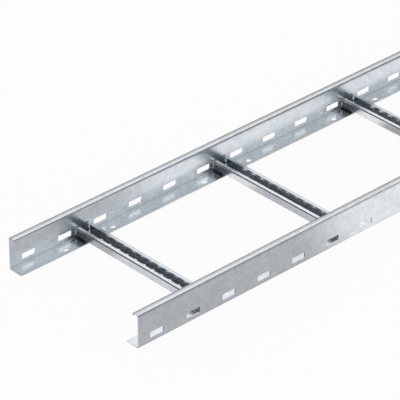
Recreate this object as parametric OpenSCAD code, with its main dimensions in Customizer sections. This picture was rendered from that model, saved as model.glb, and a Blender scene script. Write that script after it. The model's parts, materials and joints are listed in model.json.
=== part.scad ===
// Cable ladder section: two roll-formed side rails with rungs welded between them.
// The run lies along X, the rails stand at -Y and +Y, and Z is up.
// The origin is the middle of the footprint, on the surface that the ladder rests on.

/* [Ladder] */
// Length of the section along the run
ladder_length = 3000; // [600:300:6000]
// Width over the outer faces of the side rails
ladder_width = 300; // [150:50:900]
// Thickness of the steel sheet that every piece is formed from
sheet = 1.5; // [1:0.25:2]

/* [Side rails] */
// Height of the side rails
rail_height = 60; // [50:5:110]
// Width of the top flange, turned inwards
top_flange = 13; // [11:0.5:18]
// Depth of the lip turned down along the top flange's edge
top_lip = 5; // [4:0.5:10]
// Width of the bottom flange, turned inwards
bottom_flange = 27.5; // [20:0.5:35]
// Inside radius of the side rail's bends
rail_bend = 1.5; // [1:0.25:2]

/* [Slots in the webs] */
// Distance from one web slot to the next
web_slot_pitch = 75; // [50:5:150]
// Length of a web slot
web_slot_length = 27.5; // [16:0.5:40]
// Width of a web slot
web_slot_width = 10; // [7:0.5:12]
// Radius of a web slot's corners
web_slot_corner = 1.5; // [1:0.25:3]
// Height of the web slots' centre line over the underside
web_slot_height = 14; // [12:1:30]

/* [Holes in the bottom flanges] */
// Length of a flange hole over its round ends, along the run
flange_hole_length = 10; // [8:0.5:16]
// Width of a flange hole across the run
flange_hole_width = 7; // [5:0.5:8]
// Distance from the side rail's outer face to the flange holes' centre line
flange_hole_inset = 18; // [12:0.5:20]
// Distance from a rung's centre line to the flange hole on each side of it
flange_hole_offset = 50; // [30:5:100]

/* [Rungs] */
// Distance from one rung to the next
rung_pitch = 300; // [200:25:500]
// Width of a rung along the run
rung_width = 30; // [26:1:50]
// Height of a rung
rung_height = 15; // [12:1:30]
// Width of the open mouth along the top of a rung
rung_mouth = 16.5; // [10:0.5:18]
// Inside radius of the rung's bends
rung_bend = 1; // [0.75:0.25:2]
// Gap between the bottom flanges and the rungs, which clears the side rails' bends
rung_lift = 3; // [2:0.5:10]
// How far the rungs' walls and lips stop short of the webs, which only their bases reach
rung_end_relief = 2; // [1:0.5:5]

/* [Slots in the rungs] */
// Distance from one rung slot to the next
rung_slot_pitch = 20; // [15:1:50]
// Length of a rung slot over its round ends, along the run
rung_slot_length = 16; // [12:0.5:18]
// Width of a rung slot
rung_slot_width = 8; // [6:0.5:10]

/* [Hidden] */
$fn = 48;
// How far a cutting tool reaches past each face that it cuts
overcut = 1;
rung_length = ladder_width - 2 * sheet;
rung_bottom = sheet + rung_lift;
rung_count = floor(ladder_length / rung_pitch);
web_slot_count = floor(ladder_length / web_slot_pitch);
rung_slot_count = floor(rung_length / rung_slot_pitch);

// Evenly pitched positions, centred on zero
function centred_row(count, pitch) = [for (i = [0:count - 1]) (i - (count - 1) / 2) * pitch];

rung_places = centred_row(rung_count, rung_pitch);

// rung_01, rung_02 and so on, from the -X end
function rung_name(index) = str("rung_", index < 9 ? "0" : "", index + 1);

// Rectangle with rounded corners, from the origin into +X and +Y
module rounded_rectangle(width, height, radius) {
    translate([radius, 0]) square([width - 2 * radius, height]);
    translate([0, radius]) square([width, height - 2 * radius]);
    for (x = [radius, width - radius], y = [radius, height - radius])
        translate([x, y]) circle(radius);
}

// Outline of a slot with round ends, centred on the origin and long in X
module slot_outline(length, width) {
    end_distance = (length - width) / 2;
    square([2 * end_distance, width], center = true);
    for (x = [-end_distance, end_distance]) translate([x, 0]) circle(width / 2);
}

// Closed tube of sheet with rounded corners, which the sections are cut open from
module formed_tube_section(width, height, bend) {
    difference() {
        rounded_rectangle(width, height, sheet + bend);
        translate([sheet, sheet])
            rounded_rectangle(width - 2 * sheet, height - 2 * sheet, bend);
    }
}

// Side rail's section: X runs inwards from the outer face, Y is up
module side_rail_section() {
    flat_start = sheet + rail_bend;
    difference() {
        formed_tube_section(top_flange, rail_height, rail_bend);
        translate([flat_start, -overcut])
            square([top_flange, rail_height - top_lip + overcut]);
    }
    translate([flat_start, 0]) square([bottom_flange - flat_start, sheet]);
}

// Tools that cut the row of slots through the front web
module web_slots() {
    for (x = centred_row(web_slot_count, web_slot_pitch))
        translate([x, -ladder_width / 2 - overcut, web_slot_height])
            rotate([-90, 0, 0])
                linear_extrude(sheet + 2 * overcut)
                    translate([-web_slot_length / 2, -web_slot_width / 2])
                        rounded_rectangle(web_slot_length, web_slot_width, web_slot_corner);
}

// Tools that cut the pair of holes at each rung through the front bottom flange
module flange_holes() {
    for (x = rung_places, side = [-1, 1])
        translate([x + side * flange_hole_offset, flange_hole_inset - ladder_width / 2, -overcut])
            linear_extrude(sheet + 2 * overcut)
                slot_outline(flange_hole_length, flange_hole_width);
}

// Side rail at -Y, open towards the rungs
module side_rail() {
    color("silver")
        difference() {
            translate([-ladder_length / 2, -ladder_width / 2, 0])
                rotate([90, 0, 90])
                    linear_extrude(ladder_length) side_rail_section();
            web_slots();
            flange_holes();
        }
}

// Side rail at +Y, the mirror image of the front one
module side_rail_back() {
    mirror([0, 1, 0]) side_rail();
}

// Rung's section: X is along the run and centred, Y is up, with the mouth at the top
module rung_section() {
    difference() {
        translate([-rung_width / 2, 0])
            formed_tube_section(rung_width, rung_height, rung_bend);
        translate([-rung_mouth / 2, rung_height / 2]) square([rung_mouth, rung_height]);
    }
}

// Tools that set a rung's walls and lips back at both of its ends
module rung_end_reliefs() {
    for (turn = [0, 180])
        rotate([0, 0, turn])
            translate([-rung_width, rung_length / 2 - rung_end_relief, sheet + rung_bend])
                cube([2 * rung_width, rung_end_relief + overcut, rung_height]);
}

// Rung that spans between the webs, at one place along the run
module rung(place) {
    color("lightgray")
        translate([place, 0, rung_bottom])
            difference() {
                translate([0, rung_length / 2, 0])
                    rotate([90, 0, 0]) linear_extrude(rung_length) rung_section();
                rung_end_reliefs();
                for (y = centred_row(rung_slot_count, rung_slot_pitch))
                    translate([0, y, -overcut])
                        linear_extrude(sheet + 2 * overcut)
                            slot_outline(rung_slot_length, rung_slot_width);
            }
}

side_rail();  // side_rail_front
side_rail_back();
for (index = [0:rung_count - 1])
    rung(rung_places[index]);
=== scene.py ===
"""Galvanised cable ladder section: finishes, weld seams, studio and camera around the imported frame."""

import json
import logging
import math
from dataclasses import dataclass
from enum import Enum

import bmesh
import bpy
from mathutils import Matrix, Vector

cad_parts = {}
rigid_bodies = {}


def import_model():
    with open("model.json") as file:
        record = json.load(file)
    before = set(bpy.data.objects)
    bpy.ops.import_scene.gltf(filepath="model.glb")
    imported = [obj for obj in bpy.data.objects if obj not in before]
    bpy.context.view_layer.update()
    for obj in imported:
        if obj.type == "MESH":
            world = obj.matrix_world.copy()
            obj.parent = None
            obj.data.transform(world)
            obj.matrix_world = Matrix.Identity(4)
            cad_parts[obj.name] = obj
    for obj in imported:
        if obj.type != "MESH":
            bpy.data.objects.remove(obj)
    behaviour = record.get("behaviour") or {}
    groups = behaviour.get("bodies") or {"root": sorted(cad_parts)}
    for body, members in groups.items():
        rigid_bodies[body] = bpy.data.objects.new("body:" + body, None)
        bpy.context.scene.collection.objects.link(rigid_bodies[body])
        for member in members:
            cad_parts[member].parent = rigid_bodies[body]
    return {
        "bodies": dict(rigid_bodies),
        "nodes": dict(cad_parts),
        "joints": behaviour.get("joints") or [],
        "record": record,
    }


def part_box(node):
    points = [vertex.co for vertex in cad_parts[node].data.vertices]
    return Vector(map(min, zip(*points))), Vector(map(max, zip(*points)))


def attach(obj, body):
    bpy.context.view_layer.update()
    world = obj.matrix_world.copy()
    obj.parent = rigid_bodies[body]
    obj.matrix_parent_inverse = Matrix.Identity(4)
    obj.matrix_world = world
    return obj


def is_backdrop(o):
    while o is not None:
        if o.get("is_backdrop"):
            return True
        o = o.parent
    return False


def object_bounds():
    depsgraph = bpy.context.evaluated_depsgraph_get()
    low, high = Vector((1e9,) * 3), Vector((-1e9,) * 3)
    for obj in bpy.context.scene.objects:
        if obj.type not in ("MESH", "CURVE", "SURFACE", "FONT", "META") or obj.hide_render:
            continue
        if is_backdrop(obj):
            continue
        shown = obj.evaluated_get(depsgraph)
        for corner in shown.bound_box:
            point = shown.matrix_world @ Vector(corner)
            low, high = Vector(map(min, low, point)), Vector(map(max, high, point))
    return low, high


LOG = logging.getLogger("cable_ladder")
MM = 0.001


class RollingDirection(Enum):
    """Row axis along which a piece's sheet went through the rolls."""

    ALONG_RUN = (1.0, 0.0, 0.0)
    ACROSS_RUN = (0.0, 1.0, 0.0)


class NodeTree:
    """Small helper that adds nodes to a material's or a group's tree and links them."""

    def __init__(self, tree: bpy.types.NodeTree) -> None:
        """Keep the tree.

        Args:
            tree: the node tree that nodes are added to.
        """
        self.tree = tree

    def add(self, kind: str, **settings: object) -> bpy.types.Node:
        """Add one node.

        Args:
            kind: the node's type name.
            **settings: properties set on the node.

        Returns:
            The new node.
        """
        node = self.tree.nodes.new(kind)
        for name, value in settings.items():
            setattr(node, name, value)
        return node

    def feed(self, target: bpy.types.NodeSocket, source: object) -> None:
        """Link a socket into another one, or set its value.

        Args:
            target: the input socket.
            source: an output socket, or a plain value.
        """
        if isinstance(source, bpy.types.NodeSocket):
            self.tree.links.new(source, target)
        else:
            target.default_value = source

    def maths(self, operation: str, *inputs: object, clamp: bool = False) -> bpy.types.NodeSocket:
        """Add a Math node.

        Args:
            operation: the node's operation.
            *inputs: sockets or numbers, in order.
            clamp: whether the result is held between 0 and 1.

        Returns:
            The node's output socket.
        """
        node = self.add("ShaderNodeMath", operation=operation, use_clamp=clamp)
        for socket, source in zip(node.inputs, inputs):
            self.feed(socket, source)
        return node.outputs[0]

    def spread(self, value: object, low: float, high: float,
               to_low: float = 0.0, to_high: float = 1.0) -> bpy.types.NodeSocket:
        """Map one range of values smoothly onto another, held at both ends.

        Args:
            value: the socket that is mapped.
            low: the value that gives to_low.
            high: the value that gives to_high.
            to_low: the result at the low end.
            to_high: the result at the high end.

        Returns:
            The mapped value's socket.
        """
        node = self.add("ShaderNodeMapRange", interpolation_type="SMOOTHSTEP")
        for socket, source in zip(node.inputs, (value, low, high, to_low, to_high)):
            self.feed(socket, source)
        return node.outputs["Result"]

    def noise(self, vector: object, scale: float, detail: float = 2.0,
              roughness: float = 0.5) -> bpy.types.NodeSocket:
        """Add a Noise Texture.

        Args:
            vector: the coordinates' socket.
            scale: features per metre.
            detail: octaves of finer noise.
            roughness: weight of the finer octaves.

        Returns:
            The noise value's socket, from 0 to 1.
        """
        node = self.add("ShaderNodeTexNoise")
        self.feed(node.inputs["Vector"], vector)
        self.feed(node.inputs["Scale"], scale)
        self.feed(node.inputs["Detail"], detail)
        self.feed(node.inputs["Roughness"], roughness)
        return node.outputs["Fac"]

    def mix_colour(self, factor: object, first: object, second: object,
                   blend: str = "MIX") -> bpy.types.NodeSocket:
        """Mix two colours.

        Args:
            factor: share of the second colour.
            first: the first colour.
            second: the second colour.
            blend: the way of mixing.

        Returns:
            The mixed colour's socket.
        """
        node = self.add("ShaderNodeMix", data_type="RGBA", blend_type=blend)
        self.feed(node.inputs["Factor"], factor)
        self.feed(node.inputs[6], first)
        self.feed(node.inputs[7], second)
        return node.outputs[2]


def new_group(
        name: str, inputs: dict[str, tuple[str, object]], outputs: dict[str, str],
) -> tuple[bpy.types.NodeTree, NodeTree, bpy.types.Node, bpy.types.Node]:
    """Start a shader node group.

    Args:
        name: the group's name.
        inputs: each input's socket type and default value.
        outputs: each output's socket type.

    Returns:
        The group, its helper, and its input and output nodes.
    """
    group = bpy.data.node_groups.new(name, "ShaderNodeTree")
    for label, (kind, default) in inputs.items():
        socket = group.interface.new_socket(label, in_out="INPUT", socket_type=kind)
        socket.default_value = default
    for label, kind in outputs.items():
        group.interface.new_socket(label, in_out="OUTPUT", socket_type=kind)
    tree = NodeTree(group)
    return group, tree, tree.add("NodeGroupInput"), tree.add("NodeGroupOutput")


@dataclass(frozen=True)
class ZincSpangle:
    """Crystal pattern of a zinc coat: soft-edged patches that differ a little in shade and gloss."""

    crystal: float = 7 * MM
    cloud: float = 90 * MM
    cloud_detail: float = 4.0
    crystal_share: float = 0.5
    warp_per_crystal: float = 0.6

    def group(self) -> bpy.types.NodeTree:
        """Build the node group.

        Returns:
            The group, with a shade, a gloss and a height output.
        """
        group, tree, given, result = new_group(
            "zinc_spangle",
            {"Position": ("NodeSocketVector", (0.0, 0.0, 0.0))},
            {"Shade": "NodeSocketFloat", "Gloss": "NodeSocketFloat", "Height": "NodeSocketFloat"},
        )
        place = given.outputs["Position"]
        warp = tree.add("ShaderNodeTexNoise")
        tree.feed(warp.inputs["Vector"], place)
        tree.feed(warp.inputs["Scale"], self.warp_per_crystal / self.crystal)
        shift = tree.add("ShaderNodeVectorMath", operation="MULTIPLY_ADD")
        tree.feed(shift.inputs[0], warp.outputs["Color"])
        tree.feed(shift.inputs[1], (self.crystal,) * 3)
        tree.feed(shift.inputs[2], place)
        cells = tree.add("ShaderNodeTexVoronoi", feature="F1")
        tree.feed(cells.inputs["Vector"], shift.outputs[0])
        tree.feed(cells.inputs["Scale"], 1 / self.crystal)
        tint = tree.add("ShaderNodeSeparateColor")
        tree.feed(tint.inputs[0], cells.outputs["Color"])
        cloud = tree.noise(place, 1 / self.cloud, detail=self.cloud_detail)
        shade = tree.maths("ADD", tree.maths("MULTIPLY", tint.outputs[0], self.crystal_share),
                           tree.maths("MULTIPLY", cloud, 1 - self.crystal_share))
        tree.feed(result.inputs["Shade"], shade)
        tree.feed(result.inputs["Gloss"], tint.outputs[1])
        tree.feed(result.inputs["Height"], tint.outputs[2])
        return group


@dataclass(frozen=True)
class RollMarks:
    """Fine straight lines that the mill's and the former's rolls leave along the sheet."""

    line: float = 1.1 * MM
    stretch: float = 60.0
    line_detail: float = 3.0
    line_roughness: float = 0.6

    def group(self) -> bpy.types.NodeTree:
        """Build the node group.

        Returns:
            The group, whose output runs from 0 to 1 across the lines.
        """
        group, tree, given, result = new_group(
            "roll_marks",
            {"Position": ("NodeSocketVector", (0.0, 0.0, 0.0)),
             "Direction": ("NodeSocketVector", (1.0, 0.0, 0.0))},
            {"Line": "NodeSocketFloat"},
        )
        place, direction = given.outputs["Position"], given.outputs["Direction"]
        along = tree.add("ShaderNodeVectorMath", operation="DOT_PRODUCT")
        tree.feed(along.inputs[0], place)
        tree.feed(along.inputs[1], direction)
        part = tree.add("ShaderNodeVectorMath", operation="SCALE")
        tree.feed(part.inputs[0], direction)
        tree.feed(part.inputs["Scale"],
                  tree.maths("MULTIPLY", along.outputs["Value"], 1 - 1 / self.stretch))
        squeezed = tree.add("ShaderNodeVectorMath", operation="SUBTRACT")
        tree.feed(squeezed.inputs[0], place)
        tree.feed(squeezed.inputs[1], part.outputs[0])
        lines = tree.noise(squeezed.outputs[0], 1 / self.line, detail=self.line_detail,
                           roughness=self.line_roughness)
        tree.feed(result.inputs["Line"], lines)
        return group


@dataclass(frozen=True)
class RolledEdges:
    """Look of a rail's bent parts: slightly crowned top flanges, and painted shade that darkens the zinc
    over the top flange, its bends and the lower outer bend.
    """

    outer_face: float
    top: float
    width: float = 13 * MM
    rise: float = 0.6 * MM
    depth: float = 6 * MM
    heel_full: float = 2 * MM
    heel_top: float = 3.5 * MM
    heel_inner: float = 4.5 * MM
    heel_outer: float = 3 * MM
    # Share of its lightness that the painted shade leaves the zinc at the bends.
    painted_bend_shade: float = 0.77

    def height(self, tree: NodeTree, place: bpy.types.NodeSocket) -> bpy.types.NodeSocket:
        """Work out how far the sheet stands proud.

        Args:
            tree: the helper of the material's tree.
            place: the position's socket.

        Returns:
            The socket of the height in metres.
        """
        axes = tree.add("ShaderNodeSeparateXYZ")
        tree.feed(axes.inputs[0], place)
        half = self.width / 2
        offset = tree.maths("SUBTRACT", tree.maths("ABSOLUTE", axes.outputs["Y"]), self.outer_face - half)
        share = tree.maths("DIVIDE", offset, half)
        arch = tree.maths("SUBTRACT", 1.0, tree.maths("MULTIPLY", share, share))
        on_top = tree.spread(axes.outputs["Z"], self.top - self.depth, self.top - self.depth / 2)
        return tree.maths("MULTIPLY", tree.maths("MULTIPLY", arch, on_top), self.rise)

    def shade(self, tree: NodeTree, place: bpy.types.NodeSocket) -> bpy.types.NodeSocket:
        """Work out the painted shade at the bends: how much of its lightness the zinc keeps.

        Args:
            tree: the helper of the material's tree.
            place: the position's socket.

        Returns:
            The socket of the share that the painted shade leaves, from its darkest at the bends to 1
            elsewhere.
        """
        axes = tree.add("ShaderNodeSeparateXYZ")
        tree.feed(axes.inputs[0], place)
        # Painted shade: darker zinc over the top flange and the top bends, and at the lower outer bend.
        upper = tree.spread(axes.outputs["Z"], self.top - self.depth, self.top - self.depth / 2)
        lower = tree.spread(axes.outputs["Z"], self.heel_top, self.heel_full)
        heel = tree.spread(tree.maths("ABSOLUTE", axes.outputs["Y"]),
                           self.outer_face - self.heel_inner, self.outer_face - self.heel_outer)
        painted_shade_mask = tree.maths("MAXIMUM", upper, tree.maths("MULTIPLY", lower, heel))
        return tree.spread(painted_shade_mask, 0.0, 1.0, 1.0, self.painted_bend_shade)


@dataclass(frozen=True)
class GalvanisedSheet:
    """Finish of zinc-coated sheet steel: soft gloss, faint spangle, cloudy shade and roll marks."""

    name: str
    rolled: RollingDirection
    light_zinc: tuple[float, float, float, float] = (0.764, 0.806, 0.843, 1.0)
    dark_zinc: tuple[float, float, float, float] = (0.664, 0.70, 0.738, 1.0)
    roughness_low: float = 0.24
    roughness_high: float = 0.32
    spangle_share: float = 0.7
    shade_low: float = 0.25
    shade_high: float = 0.75
    gloss_share: float = 0.5
    gloss_low: float = 0.1
    gloss_high: float = 0.9
    line_strength: float = 0.08
    line_depth: float = 0.2 * MM
    edges: RolledEdges | None = None

    def material(self, spangle: bpy.types.NodeTree, marks: bpy.types.NodeTree) -> bpy.types.Material:
        """Build the finish.

        Args:
            spangle: the zinc spangle group.
            marks: the roll marks group.

        Returns:
            The material.
        """
        material = bpy.data.materials.new(self.name)
        material.use_nodes = True
        tree = NodeTree(material.node_tree)
        shader = material.node_tree.nodes["Principled BSDF"]
        place = tree.add("ShaderNodeTexCoord").outputs["Object"]
        crystals = tree.add("ShaderNodeGroup", node_tree=spangle)
        tree.feed(crystals.inputs["Position"], place)
        lines = tree.add("ShaderNodeGroup", node_tree=marks)
        tree.feed(lines.inputs["Position"], place)
        tree.feed(lines.inputs["Direction"], self.rolled.value)
        shade = tree.maths("ADD", tree.maths("MULTIPLY", crystals.outputs["Shade"], self.spangle_share),
                           tree.maths("MULTIPLY", lines.outputs["Line"], 1 - self.spangle_share))
        zinc = tree.mix_colour(tree.spread(shade, self.shade_low, self.shade_high),
                               self.dark_zinc, self.light_zinc)
        if self.edges:
            # Painted shade at the rail's bends and over its top flange.
            zinc = tree.mix_colour(1.0, zinc, self.edges.shade(tree, place), blend="MULTIPLY")
        tree.feed(shader.inputs["Base Color"], zinc)
        dull = tree.maths("ADD", tree.maths("MULTIPLY", crystals.outputs["Gloss"], self.gloss_share),
                          tree.maths("MULTIPLY", lines.outputs["Line"], 1 - self.gloss_share))
        tree.feed(shader.inputs["Roughness"],
                  tree.spread(dull, self.gloss_low, self.gloss_high,
                              self.roughness_low, self.roughness_high))
        relief = tree.add("ShaderNodeBump")
        tree.feed(relief.inputs["Strength"], self.line_strength)
        tree.feed(relief.inputs["Distance"], self.line_depth)
        tree.feed(relief.inputs["Height"], lines.outputs["Line"])
        if self.edges:
            crowned = tree.add("ShaderNodeBump")
            tree.feed(crowned.inputs["Distance"], 1.0)
            tree.feed(crowned.inputs["Height"], self.edges.height(tree, place))
            tree.feed(relief.inputs["Normal"], crowned.outputs["Normal"])
        tree.feed(shader.inputs["Normal"], relief.outputs["Normal"])
        shader.inputs["Metallic"].default_value = 1.0
        return material


@dataclass(frozen=True)
class WeldMetal:
    """Finish of a weld seam: dull grey metal with darker specks of burnt zinc."""

    name: str = "weld_metal"
    light_metal: tuple[float, float, float, float] = (0.42, 0.44, 0.46, 1.0)
    burnt_zinc: tuple[float, float, float, float] = (0.12, 0.125, 0.13, 1.0)
    speck: float = 1.5 * MM
    speck_detail: float = 3.0
    burnt_end: float = 0.35
    light_start: float = 0.65
    dull_end: float = 0.3
    shiny_start: float = 0.7
    dull_roughness: float = 0.6
    shiny_roughness: float = 0.4
    grain_strength: float = 0.4
    grain_depth: float = 0.2 * MM

    def material(self) -> bpy.types.Material:
        """Build the finish.

        Returns:
            The material.
        """
        material = bpy.data.materials.new(self.name)
        material.use_nodes = True
        tree = NodeTree(material.node_tree)
        shader = material.node_tree.nodes["Principled BSDF"]
        specks = tree.noise(tree.add("ShaderNodeTexCoord").outputs["Object"], 1 / self.speck,
                            detail=self.speck_detail)
        tree.feed(shader.inputs["Base Color"],
                  tree.mix_colour(tree.spread(specks, self.burnt_end, self.light_start),
                                  self.burnt_zinc, self.light_metal))
        tree.feed(shader.inputs["Roughness"],
                  tree.spread(specks, self.dull_end, self.shiny_start,
                              self.dull_roughness, self.shiny_roughness))
        relief = tree.add("ShaderNodeBump")
        tree.feed(relief.inputs["Strength"], self.grain_strength)
        tree.feed(relief.inputs["Distance"], self.grain_depth)
        tree.feed(relief.inputs["Height"], specks)
        tree.feed(shader.inputs["Normal"], relief.outputs["Normal"])
        shader.inputs["Metallic"].default_value = 1.0
        return material


@dataclass
class WeldBead:
    """One short straight run of weld metal with fine ripples and rounded ends."""

    start: Vector
    end: Vector
    radius: float
    ripple: float = 1.6 * MM
    ripple_rise: float = 0.1
    steps_per_ripple: int = 4
    fewest_ripples: int = 3
    end_taper: float = 0.96
    end_sharpness: int = 6
    sides: int = 10

    def add_to(self, shape: bmesh.types.BMesh) -> None:
        """Add the bead's closed skin to a mesh.

        Args:
            shape: the mesh that takes it.
        """
        run = self.end - self.start
        across = run.orthogonal().normalized()
        upright = run.normalized().cross(across)
        steps = self.steps_per_ripple * max(self.fewest_ripples, round(run.length / self.ripple))
        rings = []
        for step in range(steps + 1):
            share = step / steps
            round_off = math.sqrt(1 - self.end_taper * abs(2 * share - 1) ** self.end_sharpness)
            wave = 1 + self.ripple_rise * math.cos(2 * math.pi * step / self.steps_per_ripple)
            middle = self.start + run * share
            ring = []
            for side in range(self.sides):
                turn = 2 * math.pi * side / self.sides
                outward = across * math.cos(turn) + upright * math.sin(turn)
                ring.append(shape.verts.new(middle + outward * self.radius * round_off * wave))
            rings.append(ring)
        for first, second in zip(rings, rings[1:]):
            for side in range(self.sides):
                after = (side + 1) % self.sides
                shape.faces.new((first[side], first[after], second[after], second[side]))
        shape.faces.new(rings[0][::-1])
        shape.faces.new(rings[-1])


@dataclass
class SideRail:
    """One roll-formed side rail, which the frame already holds at its true shape."""

    node: str

    def dress(self, frame: dict, finish: bpy.types.Material) -> bpy.types.Object:
        """Give the rail its finish.

        Args:
            frame: the loaded frame.
            finish: the zinc-coated sheet's material.

        Returns:
            The rail's object.
        """
        return dress_node(frame, self.node, finish)


@dataclass
class Rung:
    """One lipped channel rung, welded at both ends to the side rails' webs."""

    node: str
    sheet: float = 1.5 * MM
    base_bead: float = 1.5 * MM
    foot_bead: float = 1.4 * MM
    foot_overhang: float = 0.8 * MM
    foot_length: float = 9 * MM

    def dress(self, frame: dict, finish: bpy.types.Material) -> bpy.types.Object:
        """Give the rung its finish.

        Args:
            frame: the loaded frame.
            finish: the zinc-coated sheet's material.

        Returns:
            The rung's object.
        """
        return dress_node(frame, self.node, finish)

    def weld(self, finish: bpy.types.Material) -> bpy.types.Object:
        """Lay the weld seams: one in the channel and two under the base's corners, at each end.

        Args:
            finish: the weld metal's material.

        Returns:
            The seams' object.
        """
        low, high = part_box(self.node)
        shape = bmesh.new()
        for end in (low.y, high.y):
            inward = math.copysign(1.0, -end)
            corner = end + inward * self.base_bead / 2
            base = low.z + self.sheet + self.base_bead / 3
            WeldBead(Vector((low.x + self.base_bead / 2, corner, base)),
                     Vector((high.x - self.base_bead / 2, corner, base)), self.base_bead).add_to(shape)
            foot = end + inward * self.foot_bead / 2
            for wall, along in ((low.x, 1), (high.x, -1)):
                WeldBead(Vector((wall - along * self.foot_overhang, foot, low.z)),
                         Vector((wall + along * self.foot_length, foot, low.z)),
                         self.foot_bead).add_to(shape)
        bmesh.ops.recalc_face_normals(shape, faces=shape.faces)
        mesh = bpy.data.meshes.new(f"{self.node}_welds")
        shape.to_mesh(mesh)
        shape.free()
        mesh.shade_smooth()
        mesh.materials.append(finish)
        seams = bpy.data.objects.new(f"{self.node}_welds", mesh)
        bpy.context.scene.collection.objects.link(seams)
        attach(seams, "root")
        return seams


def dress_node(frame: dict, node: str, finish: bpy.types.Material) -> bpy.types.Object:
    """Put a finish in a frame node's material slots.

    Args:
        frame: the loaded frame.
        node: the node's name.
        finish: the material.

    Returns:
        The node's object.
    """
    piece = frame["nodes"][node]
    piece.data.materials.clear()
    piece.data.materials.append(finish)
    return piece


@dataclass
class SoftLamp:
    """One square softbox, which the metal mirrors as a soft sheen."""

    name: str
    place: tuple[float, float, float]
    aim: tuple[float, float, float]
    width: float
    glow: float

    def build(self) -> bpy.types.Object:
        """Hang the lamp.

        Returns:
            The lamp's object.
        """
        data = bpy.data.lights.new(self.name, "AREA")
        data.shape = "SQUARE"
        data.size = self.width
        data.energy = self.glow * math.pi * self.width ** 2
        lamp = bpy.data.objects.new(self.name, data)
        lamp.location = self.place
        forward = Vector(self.aim) - Vector(self.place)
        lamp.rotation_euler = forward.to_track_quat("-Z", "Y").to_euler()
        lamp.visible_camera = False
        bpy.context.scene.collection.objects.link(lamp)
        return lamp


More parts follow.
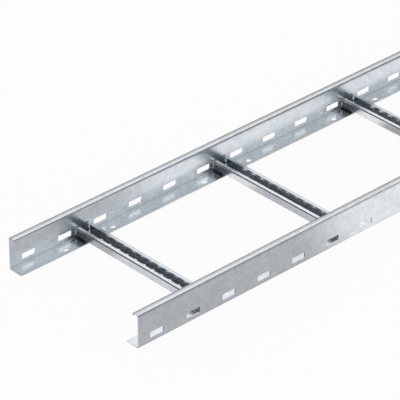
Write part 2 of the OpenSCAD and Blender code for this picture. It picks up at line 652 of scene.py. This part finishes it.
@dataclass
class Studio:
    """Pale floor, white surroundings, one soft lamp and the camera.

    The camera sees a plain floor and plain white surroundings. What the metal mirrors is set apart from
    that: dark flanks, a dark back horizon, a brighter top, and a floor whose brightness changes around the
    ladder and along its bed. Positions along X and Y are in the ladder's own frame.
    """

    low: Vector
    high: Vector
    floor_half: float = 150.0
    floor_drop: float = 0.2 * MM
    floor_white: float = 0.93
    floor_shade: float = 0.9
    floor_sheen_low: float = 0.58
    floor_sheen_front: float = 1.1
    floor_sheen_back: float = 1.08
    floor_sheen_direction: tuple[float, float, float] = (0.806, 0.412, 0.0)
    floor_sheen_start: float = 0.215
    floor_sheen_end: float = 0.345
    bed_sheen_near: float = 0.86
    bed_sheen_far: float = 0.48
    bed_start: float = 0.05
    bed_length: float = 0.75
    bed_front_fade: float = 0.015
    bed_back_start: float = 0.05
    bed_back_end: float = 0.085
    left_flank_start: float = 0.3
    left_flank_end: float = -0.15
    left_flank_glow: float = 0.05
    right_flank_direction: tuple[float, float, float] = (0.73, -0.683, 0.0)
    right_flank_start: float = 0.3
    right_flank_end: float = 0.7
    right_flank_low_glow: float = 0.15
    right_flank_high_glow: float = 0.88
    right_flank_low: float = 0.15
    right_flank_high: float = 0.5
    back_direction: tuple[float, float, float] = (0.62, 0.785, 0.0)
    back_start: float = 0.3
    back_end: float = 0.7
    back_glow: float = 0.05
    back_low: float = 0.28
    back_high: float = 0.56
    sky_glow: float = 1.0
    top_glow: float = 1.6
    top_low: float = 0.5
    top_high: float = 0.8
    ambient: float = 0.8
    lamp_place: tuple[float, float, float] = (0.9, 1.7, 1.6)
    lamp_aim: tuple[float, float, float] = (-0.8, 0.0, 0.0)
    lamp_width: float = 1.4
    lamp_glow: float = 0.1
    azimuth: float = 43.053
    elevation: float = 31.754
    distance: float = 4.9153
    aim_from_end: float = 0.32489
    aim_from_middle: float = 0.06239
    lens: float = 275.98
    sensor: float = 36.0
    far_clip: float = 1000.0

    def build(self) -> None:
        """Build the whole studio."""
        self.world()
        self.floor()
        self.lights()
        self.camera()

    def world(self) -> None:
        """White surroundings that are dark at both flanks and at the back in what the metal mirrors."""
        world = bpy.data.worlds.new("white_studio")
        world.use_nodes = True
        bpy.context.scene.world = world
        tree = NodeTree(world.node_tree)
        surroundings = world.node_tree.nodes["Background"]
        surroundings.inputs["Color"].default_value = (1.0, 1.0, 1.0, 1.0)
        direction = tree.add("ShaderNodeTexCoord").outputs["Generated"]
        axes = tree.add("ShaderNodeSeparateXYZ")
        tree.feed(axes.inputs[0], direction)
        left = tree.spread(axes.outputs["X"], self.left_flank_end, self.left_flank_start,
                           self.left_flank_glow, 1.0)
        sideways = tree.add("ShaderNodeVectorMath", operation="DOT_PRODUCT")
        tree.feed(sideways.inputs[0], direction)
        tree.feed(sideways.inputs[1], self.right_flank_direction)
        right_glow = tree.spread(axes.outputs["Z"], self.right_flank_low, self.right_flank_high,
                                 self.right_flank_low_glow, self.right_flank_high_glow)
        right = tree.spread(sideways.outputs["Value"], self.right_flank_start, self.right_flank_end,
                            1.0, right_glow)
        backwards = tree.add("ShaderNodeVectorMath", operation="DOT_PRODUCT")
        tree.feed(backwards.inputs[0], direction)
        tree.feed(backwards.inputs[1], self.back_direction)
        back_glow = tree.spread(axes.outputs["Z"], self.back_low, self.back_high, self.back_glow, 1.0)
        back = tree.spread(backwards.outputs["Value"], self.back_start, self.back_end, 1.0, back_glow)
        sky = tree.spread(axes.outputs["Z"], self.top_low, self.top_high, self.sky_glow, self.top_glow)
        mirrored = tree.maths("MULTIPLY", tree.maths("MULTIPLY", left, right),
                              tree.maths("MULTIPLY", back, sky))
        rays = tree.add("ShaderNodeLightPath")
        seen = tree.maths("MAXIMUM", rays.outputs["Is Camera Ray"], rays.outputs["Is Transmission Ray"])
        plain = tree.maths("ADD", tree.maths("MULTIPLY", seen, 1 - self.ambient), self.ambient)
        strength = tree.add("ShaderNodeMix", data_type="FLOAT")
        tree.feed(strength.inputs[0], rays.outputs["Is Glossy Ray"])
        tree.feed(strength.inputs[2], plain)
        tree.feed(strength.inputs[3], mirrored)
        tree.feed(surroundings.inputs["Strength"], strength.outputs[0])

    def floor(self) -> None:
        """Pale floor that keeps the ladder's soft shadow and is shaded in what the metal mirrors."""
        half, drop = self.floor_half, self.low.z - self.floor_drop
        mesh = bpy.data.meshes.new("floor")
        corners = [(-half, -half, drop), (half, -half, drop), (half, half, drop), (-half, half, drop)]
        mesh.from_pydata(corners, [], [(0, 1, 2, 3)])
        floor = bpy.data.objects.new("floor", mesh)
        bpy.context.scene.collection.objects.link(floor)
        floor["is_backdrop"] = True
        material = bpy.data.materials.new("pale_floor")
        material.use_nodes = True
        tree = NodeTree(material.node_tree)
        nodes = material.node_tree.nodes
        nodes.remove(nodes["Principled BSDF"])
        lit = tree.add("ShaderNodeBsdfDiffuse")
        lit.inputs["Color"].default_value = (self.floor_shade, self.floor_shade, self.floor_shade, 1.0)
        rays = tree.add("ShaderNodeLightPath")
        place = tree.add("ShaderNodeTexCoord").outputs["Object"]
        axes = tree.add("ShaderNodeSeparateXYZ")
        tree.feed(axes.inputs[0], place)
        away = tree.add("ShaderNodeVectorMath", operation="DOT_PRODUCT")
        tree.feed(away.inputs[0], place)
        tree.feed(away.inputs[1], self.floor_sheen_direction)
        end = self.low.x * self.floor_sheen_direction[0]
        bright = tree.spread(axes.outputs["Y"], self.low.y, 0.0,
                             self.floor_sheen_front, self.floor_sheen_back)
        around = tree.spread(away.outputs["Value"], end + self.floor_sheen_start,
                             end + self.floor_sheen_end, self.floor_sheen_low, bright)
        bed = tree.spread(axes.outputs["X"], self.low.x + self.bed_start, self.low.x + self.bed_length,
                          self.bed_sheen_near, self.bed_sheen_far)
        in_bed = tree.maths(
            "MULTIPLY",
            tree.spread(axes.outputs["Y"], self.low.y, self.low.y + self.bed_front_fade, 0.0, 1.0),
            tree.spread(axes.outputs["Y"], self.bed_back_start, self.bed_back_end, 1.0, 0.0))
        sheen_mix = tree.add("ShaderNodeMix", data_type="FLOAT")
        tree.feed(sheen_mix.inputs[0], in_bed)
        tree.feed(sheen_mix.inputs[2], around)
        tree.feed(sheen_mix.inputs[3], bed)
        glow = tree.add("ShaderNodeMix", data_type="FLOAT")
        tree.feed(glow.inputs[0], rays.outputs["Is Glossy Ray"])
        tree.feed(glow.inputs[2], 1.0)
        tree.feed(glow.inputs[3], sheen_mix.outputs[0])
        white = tree.add("ShaderNodeEmission")
        tree.feed(white.inputs["Strength"], glow.outputs[0])
        seen = tree.maths("MAXIMUM", rays.outputs["Is Camera Ray"],
                          tree.maths("MAXIMUM", rays.outputs["Is Glossy Ray"],
                                     rays.outputs["Is Transmission Ray"]))
        blend = tree.add("ShaderNodeMixShader")
        tree.feed(blend.inputs[0], tree.maths("MULTIPLY", seen, self.floor_white))
        tree.feed(blend.inputs[1], lit.outputs[0])
        tree.feed(blend.inputs[2], white.outputs[0])
        tree.feed(nodes["Material Output"].inputs["Surface"], blend.outputs[0])
        mesh.materials.append(material)

    def lights(self) -> None:
        """Soft lamp behind the ladder, which puts a sheen on the faces that look up."""
        SoftLamp("back_softbox", self.lamp_place, self.lamp_aim, self.lamp_width, self.lamp_glow).build()

    def camera(self) -> None:
        """Long-lens camera that looks down along the ladder from its -X end."""
        turn, tilt = math.radians(self.azimuth), math.radians(self.elevation)
        forward = Vector((math.sin(turn) * math.cos(tilt), math.cos(turn) * math.cos(tilt), -math.sin(tilt)))
        middle = (self.low + self.high) / 2
        aim = Vector((self.low.x + self.aim_from_end, middle.y + self.aim_from_middle, middle.z))
        data = bpy.data.cameras.new("camera")
        data.lens = self.lens
        data.sensor_width = self.sensor
        data.clip_end = self.far_clip
        camera = bpy.data.objects.new("camera", data)
        camera.location = aim - forward * self.distance
        camera.rotation_euler = forward.to_track_quat("-Z", "Y").to_euler()
        bpy.context.scene.collection.objects.link(camera)
        bpy.context.scene.camera = camera


def main() -> None:
    """Build the pieces in order."""
    logging.basicConfig(level=logging.INFO, format="%(name)s: %(message)s")
    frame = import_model()
    low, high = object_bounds()
    bpy.context.scene.view_settings.view_transform = "Standard"

    spangle, marks = ZincSpangle().group(), RollMarks().group()
    # Crowned top flanges and painted shade at the rail's bends.
    edges = RolledEdges(high.y, high.z)
    rail_sheet = GalvanisedSheet("rail_steel", RollingDirection.ALONG_RUN, edges=edges)
    rung_sheet = GalvanisedSheet("rung_steel", RollingDirection.ACROSS_RUN)
    rail_steel = rail_sheet.material(spangle, marks)
    rung_steel = rung_sheet.material(spangle, marks)
    weld_metal = WeldMetal().material()
    for node in sorted(frame["nodes"]):
        if node.startswith("side_rail"):
            SideRail(node).dress(frame, rail_steel)
        else:
            rung = Rung(node)
            rung.dress(frame, rung_steel)
            LOG.info("laid %s", rung.weld(weld_metal).name)
        LOG.info("dressed %s", node)
    Studio(low, high).build()


if __name__ == "__main__":
    main()
